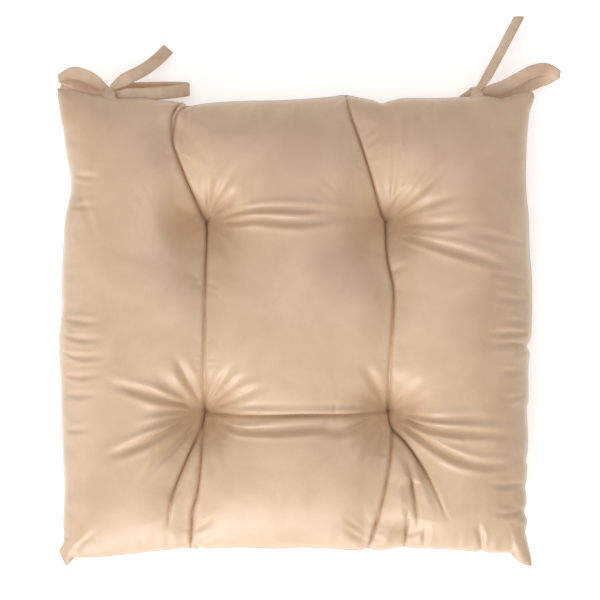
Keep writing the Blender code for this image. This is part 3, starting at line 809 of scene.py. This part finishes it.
# %% Roll threads and straps
def roll(name, stations, widths, thicks, across, around=14, closed=False, squareness=0.55, seed=0.0):
    """A soft flat cord: a ring carried along the stations. across is each station's width direction."""
    count = len(stations)
    bm = bmesh.new()
    bmesh.ops.create_grid(bm, x_segments=around, y_segments=count - 1, size=1)
    ahead = np.gradient(stations, axis=0)
    if closed:
        ahead = np.roll(stations[:-1], -1, axis=0) - np.roll(stations[:-1], 1, axis=0)
        ahead = np.vstack([ahead, ahead[:1]])
    ahead /= np.linalg.norm(ahead, axis=1)[:, None]
    side = across - np.sum(across * ahead, axis=1)[:, None] * ahead
    side /= np.linalg.norm(side, axis=1)[:, None]
    up = np.cross(side, ahead)
    for vert in bm.verts:
        station = round((vert.co.y + 1) / 2 * (count - 1))
        turn = (vert.co.x + 1) * math.pi
        a, b = math.cos(turn), math.sin(turn)
        a = math.copysign(abs(a) ** squareness, a)
        b = math.copysign(abs(b) ** 0.8, b)
        ripple = 1 + 0.12 * noise.noise(Vector((station * 0.21, a * 1.3 + seed, b + seed)))
        outward = side[station] * a * widths[station] / 2
        vert.co = stations[station] + outward + up[station] * b * thicks[station] / 2 * ripple
    bmesh.ops.remove_doubles(bm, verts=bm.verts, dist=1e-6)
    if not closed:
        bmesh.ops.holes_fill(bm, edges=[edge for edge in bm.edges if edge.is_boundary])
    bmesh.ops.recalc_face_normals(bm, faces=bm.faces)
    mesh = bpy.data.meshes.new(name)
    bm.to_mesh(mesh)
    bm.free()
    obj = bpy.data.objects.new(name, mesh)
    bpy.context.scene.collection.objects.link(obj)
    return obj


def thread_ring(name, points, radius):
    """A closed loop of round thread through the given points."""
    loop = [*points, points[0]]
    stations, length = smooth_route(loop, radius * 1.6)
    stations[-1] = stations[0]
    outward = stations - np.mean(stations, axis=0)
    size = np.full(len(stations), 2 * radius)
    made = roll(name, stations, size, size, outward, around=8, closed=True, squareness=1.0)
    finish_cloth(made, stitch_thread, 0)
    print(name, "length", round(length * 1000), "mm")
    return made


TUFT_NAMES = ["rear_left", "rear_right", "front_left", "front_right"]
TUFT_THREAD_RADIUS = 0.0006
SEAM_THREAD_RADIUS = 0.0005
TUFT_FOOT = 0.0105
for label, (x, y) in zip(TUFT_NAMES, TUFTS):
    near = np.hypot(top_x - x, top_y - y) < 0.005
    head = float(top_z[near].min()) + 0.0010
    points = [
        (x, y + 0.0025, head - 0.001),
        (x, y + 0.0012, head + 0.0002),
        (x, y - 0.0012, head + 0.0002),
        (x, y - 0.0025, head - 0.001),
        (x, y - 0.0025, TUFT_FOOT + 0.001),
        (x, y - 0.0012, TUFT_FOOT),
        (x, y + 0.0012, TUFT_FOOT),
        (x, y + 0.0025, TUFT_FOOT + 0.001),
    ]
    stitch = thread_ring(f"{label}_tuft_thread", points, TUFT_THREAD_RADIUS)
    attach(stitch, "pad")
    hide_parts(f"{label}_tuft_stitch")


def seam_path(inset, corner):
    """Places all round the pad at a distance inside the seam, with rounded corners."""
    path = []
    for turn in np.linspace(0, 2 * math.pi, 320, endpoint=False):
        reach = [math.copysign(abs(f(turn)) ** corner, f(turn)) for f in (math.cos, math.sin)]
        column = round((1 + reach[0] * (1 - inset / HALF_WIDTH)) * CELLS)
        row = round((1 + reach[1] * (1 - inset / HALF_DEPTH)) * CELLS)
        path.append((under_x[row, column], under_y[row, column]))
    return path


for which, offset in (("needle", 0.0006), ("bobbin", -0.0006)):
    ring = [(x, y, SEAM_HEIGHT + offset) for x, y in seam_path(0.0060, 0.14)]
    seam_thread = thread_ring(f"seam_{which}_stitching", ring, SEAM_THREAD_RADIUS)
    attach(seam_thread, "pad")
    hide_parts(f"seam_{which}_thread")

# %% [markdown]
# ## The bows
# Each tie is a strip folded in four and edge-stitched, then caught in the seam and tied in a bow.
# The strap is narrow where the knot squeezes it and opens out again in each loop.

# %% Lay the straps
# A tied knot sits a little nearer the pad, and higher, than the middle of its plain solid.
KNOT_SHIFT = Vector((0, -0.0022, 0.0010))
SQUEEZED = 0.58
SQUEEZE_REACH = 0.014
KNOTS = {
    side: sum(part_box(f"{side}_tie_knot"), Vector((0, 0, 0))) / 2 + KNOT_SHIFT
    for side in ("left", "right")
}
print("knots:", {side: [round(c * 1000, 1) for c in knot] for side, knot in KNOTS.items()})


def strap(name, side, route, across, nodes, knot_ends=(), thickness=0.0020, seed=0.0):
    """A pressed strap through places in millimetres from its knot, squeezed where knot_ends says."""
    knot = KNOTS[side]
    places = [[*(knot + Vector(place) / 1000), *turn] for place, turn in zip(route, across)]
    stations, length = smooth_route(places, 0.0012)
    at = np.linspace(0, length, len(stations))
    width = np.full(len(stations), STRAP_WIDTH)
    from_knot = np.linalg.norm(stations[:, :3] - np.array(knot), axis=1)
    starts = {"start": 0.0, "end": length, "tip": at[int(np.argmax(from_knot))]}
    for end in knot_ends:
        opened = smoothstep(0.0, SQUEEZE_REACH, np.abs(at - starts[end]))
        width = width * (SQUEEZED + (1 - SQUEEZED) * opened)
    thick = thickness * (STRAP_WIDTH / width) ** 0.9
    made = roll(name, stations[:, :3], width, thick, stations[:, 3:6], seed=seed)
    finish_cloth(made, strap_cloth, 1)
    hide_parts(*nodes)
    print(name, "length", round(length * 1000, 1), "mm")
    return made


inner_loop = strap(
    "left_inner_loop_strap",
    "left",
    [
        (3, -1.2, 1.5), (10, -2.6, 3.2), (30, -2.2, 3.0), (48, -0.4, 0.5), (60, 1.6, -3.5),
        (65.5, 3.2, -7.5), (60, 4.6, -11), (44, 5.2, -10.5), (24, 4.4, -8), (10, 2.4, -5),
        (3, 0.8, -2),
    ],
    [
        (0, 1, 0.3), (0, 1, 0.25), (0, 1, 0.1), (0, 1, 0.05), (0.02, 1, 0), (0, 1, 0),
        (-0.02, 1, 0.3), (0, 0.85, 0.5), (0, 0.85, 0.5), (0, 1, 0.3), (0, 1, 0.2),
    ],
    ["left_tie_inner_loop"],
    ("start", "end"),
    seed=1.0,
)
outer_loop = strap(
    "left_outer_loop_strap",
    "left",
    [
        (-2.5, 1.8, 1.5), (-8, 5.6, 3.2), (-18.5, 12.4, 4.2), (-28.5, 15.4, 3.2),
        (-36.0, 14.4, 1.0), (-43.2, 11.8, -2.5), (-38, 10.0, -5.8), (-30, 8.0, -6.4),
        (-17, 4.8, -5.4), (-8, 2.0, -3.5), (-3, 0.4, -1),
    ],
    [
        (0.55, 0.8, 0.25), (0.52, 0.8, 0.3), (0.4, 0.85, 0.32), (0.12, 0.92, 0.35),
        (-0.03, 0.88, 0.45), (0.0, 0.82, 0.57), (0.1, 0.85, 0.5), (0.2, 0.84, 0.48),
        (0.2, 0.85, 0.5), (0.2, 0.85, 0.5), (0.2, 0.8, 0.5),
    ],
    ["left_tie_outer_loop"],
    ("start", "end", "tip"),
    seed=2.0,
)
side_tail = strap(
    "left_side_tail_strap",
    "left",
    [
        (-3, -0.2, -3.5), (-12, 0.0, -8.5), (-28, 2.0, -13.0), (-44.5, 4.6, -15.5),
    ],
    [
        (0.1, 1, 0.2), (0.1, 1, 0.1), (0.15, 1, 0.1), (0.12, 1, 0),
    ],
    ["left_tie_side_tail"],
    ("start",),
    seed=3.0,
)
upper_tail = strap(
    "left_upper_tail_strap",
    "left",
    [
        (1.6, 2.4, 3.0), (7.0, 6.2, 5.4), (16.7, 12.0, 5.0), (27.7, 18.2, 1.5), (38.5, 27.6, -6),
        (47.6, 38.6, -15),
    ],
    [
        (-0.5, 0.86, 0.1), (-0.5, 0.86, 0.1), (-0.52, 0.85, 0.05), (-0.58, 0.81, 0.05),
        (-0.66, 0.75, 0), (-0.7, 0.71, 0),
    ],
    ["left_tie_upper_tail"],
    ("start",),
    seed=4.0,
)
right_loop = strap(
    "right_loop_strap",
    "right",
    [
        (3, 0.3, 1.5), (8, 0.9, 2.8), (20.3, 3.9, 3.8), (34, 11.0, 3.6), (45, 17.0, 2.6),
        (54.5, 19.6, 1.0), (62, 19.0, -1.0), (69.8, 16.0, -3.8), (63.5, 13.4, -7.0),
        (54, 10.4, -8.4), (44, 6.4, -8.8), (30, 1.4, -8.2), (18, -0.8, -6.8), (10, -1.2, -5),
        (3, -0.6, -2),
    ],
    [
        (-0.2, 0.93, 0.3), (-0.3, 0.9, 0.3), (-0.42, 0.85, 0.32), (-0.48, 0.82, 0.33),
        (-0.36, 0.86, 0.36), (-0.1, 0.9, 0.4), (0.12, 0.85, 0.5), (-0.02, 0.8, 0.6),
        (-0.2, 0.82, 0.52), (-0.3, 0.82, 0.48), (-0.4, 0.8, 0.45), (-0.3, 0.85, 0.45),
        (-0.2, 0.88, 0.42), (-0.2, 0.9, 0.4), (-0.2, 0.93, 0.3),
    ],
    ["right_tie_loop"],
    ("start", "end", "tip"),
    seed=5.0,
)
right_tail = strap(
    "right_upper_tail_strap",
    "right",
    [
        (1.2, 2.4, 3.0), (4.8, 7.4, 5.4), (9.9, 15.6, 4.8), (21.4, 36.4, -2.0),
        (37.8, 66.6, -15.5),
    ],
    [
        (0.66, -0.34, 0.6), (0.64, -0.34, 0.65), (0.63, -0.33, 0.7), (0.62, -0.32, 0.72),
        (0.62, -0.32, 0.72),
    ],
    ["right_tie_upper_tail"],
    ("start",),
    seed=6.0,
)
under_tail = strap(
    "right_under_tail_strap",
    "right",
    [
        (-1.5, 1.8, 0.6), (-5.2, -1.0, -2.2), (-9.5, -5.6, -7), (-15, -9.5, -12.5),
        (-26, -13.0, -15.5), (-40, -14.0, -17.5),
    ],
    [
        (0.6, -0.8, 0), (0.6, -0.8, 0), (0.55, -0.8, -0.2), (0.45, -0.85, -0.2),
        (0.35, -0.9, -0.1), (0.1, -1, 0),
    ],
    ["right_tie_under_tail"],
    ("start",),
    seed=7.0,
)
for piece in (inner_loop, outer_loop, side_tail):
    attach(piece, "left_bow")
for piece in (right_loop, under_tail):
    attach(piece, "right_bow")

# %% [markdown]
# The knot is the strap wrapped once round the gathered strands, and the neck is the doubled strap
# from the seam. The neck and the two upper tails are baked in place and follow no body.

# %% Tie the knots
HINGES = {joint["name"]: Vector(joint["pos_m"]) for joint in frame["joints"]}


def wrap_knot(side, lean, band, half_height):
    """A strap wound round the bow's middle, with its gathered strands inside."""
    knot = KNOTS[side]
    turns = np.linspace(0, 2 * math.pi, 40)
    centre = np.array(knot)
    along = np.array((math.cos(lean), math.sin(lean), 0.0))
    second = np.array((-math.sin(lean), math.cos(lean), 0.0))
    up = np.array((0, 0, 1))
    stations = []
    for turn in turns:
        place = centre + second * math.cos(turn) * half_height + up * math.sin(turn) * 0.0042
        stations.append(place + along * 0.0007 * math.sin(2 * turn))
    stations = np.array(stations)
    stations[-1] = stations[0]
    width = band + 0.0009 * np.cos(2 * turns + 0.6)
    thick = np.full(len(turns), 0.0023)
    across = np.tile(along, (len(turns), 1))
    made = roll(f"{side}_knot_wrap", stations, width, thick, across, closed=True, seed=9.0)
    finish_cloth(made, strap_cloth, 1)
    ends = [centre - along * 0.52 * band, centre, centre + along * 0.52 * band]
    core, _ = smooth_route(ends, 0.0010)
    size = np.full(len(core), 0.0064)
    across = np.tile(second, (len(core), 1))
    stuffed = roll(f"{side}_knot_core", core, size, size, across, squareness=0.9, seed=11.0)
    finish_cloth(stuffed, strap_cloth, 1)
    for piece in (made, stuffed):
        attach(piece, f"{side}_bow")
    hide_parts(f"{side}_tie_knot")


def make_neck(side):
    """The strap from the seam allowance, out through the seam and down into the knot."""
    knot = KNOTS[side]
    hinge = HINGES[f"{side}_tie_swing"]
    start = Vector((hinge.x, hinge.y - 0.0090, SEAM_HEIGHT))
    out = Vector((hinge.x, hinge.y - 0.0010, SEAM_HEIGHT + 0.0002))
    over = Vector((knot.x, knot.y - 0.0010, knot.z + 0.0062))
    down = Vector((knot.x, knot.y + 0.0030, knot.z + 0.0030))
    places = [[*place, 1.0, 0.0, 0.0] for place in (start, out, over, down)]
    stations, length = smooth_route(places, 0.0010)
    at = np.linspace(0, 1, len(stations))
    width = STRAP_WIDTH * (1 - 0.40 * smoothstep(0.45, 0.95, at))
    thick = 0.0026 * (STRAP_WIDTH / width) ** 0.7
    made = roll(f"{side}_neck_strap", stations[:, :3], width, thick, stations[:, 3:6], seed=12.0)
    finish_cloth(made, strap_cloth, 1)
    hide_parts(f"{side}_tie_anchor", f"{side}_tie_neck")
    start, end = hinge - Vector((0, 0.0018, 0)), hinge + Vector((0, 0.0025, 0))
    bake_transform(made)


wrap_knot("left", lean=0.10, band=0.0080, half_height=0.0034)
make_neck("left")
wrap_knot("right", lean=0.12, band=0.0100, half_height=0.0040)
make_neck("right")
for tail, side in ((upper_tail, "left"), (right_tail, "right")):
    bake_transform(tail)
print("bows tied, with hinges:", sorted(HINGES))

# %% [markdown]
# ## Floor, light and camera
# A plain white studio: the pad lies on a white floor under a large soft light from the front
# left, which rakes across the folds, and a faint light from above. The camera looks straight
# down.

# %% Set the studio
WORLD_STRENGTH = 0.52


def soft_light(name, place, target, size, power):
    data = bpy.data.lights.new(name, "AREA")
    data.size = size
    data.energy = power
    light = bpy.data.objects.new(name, data)
    light.location = place
    light.rotation_euler = (Vector(target) - Vector(place)).to_track_quat("-Z", "Y").to_euler()
    bpy.context.scene.collection.objects.link(light)


floor_mesh = bpy.data.meshes.new("studio_floor")
bm = bmesh.new()
bmesh.ops.create_grid(bm, x_segments=1, y_segments=1, size=30)
bm.to_mesh(floor_mesh)
bm.free()
floor = bpy.data.objects.new("studio_floor", floor_mesh)
floor.location.z = -0.0005
bpy.context.scene.collection.objects.link(floor)
paper = bpy.data.materials.new("white studio paper")
paper.use_nodes = True
paper_shader = paper.node_tree.nodes["Principled BSDF"]
set_values(paper_shader, {"Base Color": linear("FAFAFA"), "Roughness": 0.9, "Specular IOR Level": 0.1})
set_values(paper_shader, {"Emission Color": (1, 1, 1, 1), "Emission Strength": 0.3})
floor_mesh.materials.append(paper)

soft_light("front_softbox", (-0.35, -1.50, 0.75), (0, 0, 0.03), 0.9, 18)
soft_light("left_softbox", (-1.50, -0.30, 0.70), (0, 0, 0.03), 0.9, 4)
soft_light("overhead_softbox", (0.0, 0.3, 2.0), (0, 0, 0), 2.0, 13)
world = bpy.data.worlds.new("studio")
bpy.context.scene.world = world
world.use_nodes = True
set_values(world.node_tree.nodes["Background"], {"Color": (1, 1, 1, 1), "Strength": WORLD_STRENGTH})
camera_data = bpy.data.cameras.new("overhead_camera")
camera_data.lens = 100
camera = bpy.data.objects.new("overhead_camera", camera_data)
camera.location = (0.0025, 0.0200, SEAM_HEIGHT + 1.39)
bpy.context.scene.collection.objects.link(camera)
bpy.context.scene.camera = camera
bpy.context.scene.view_settings.view_transform = "Standard"
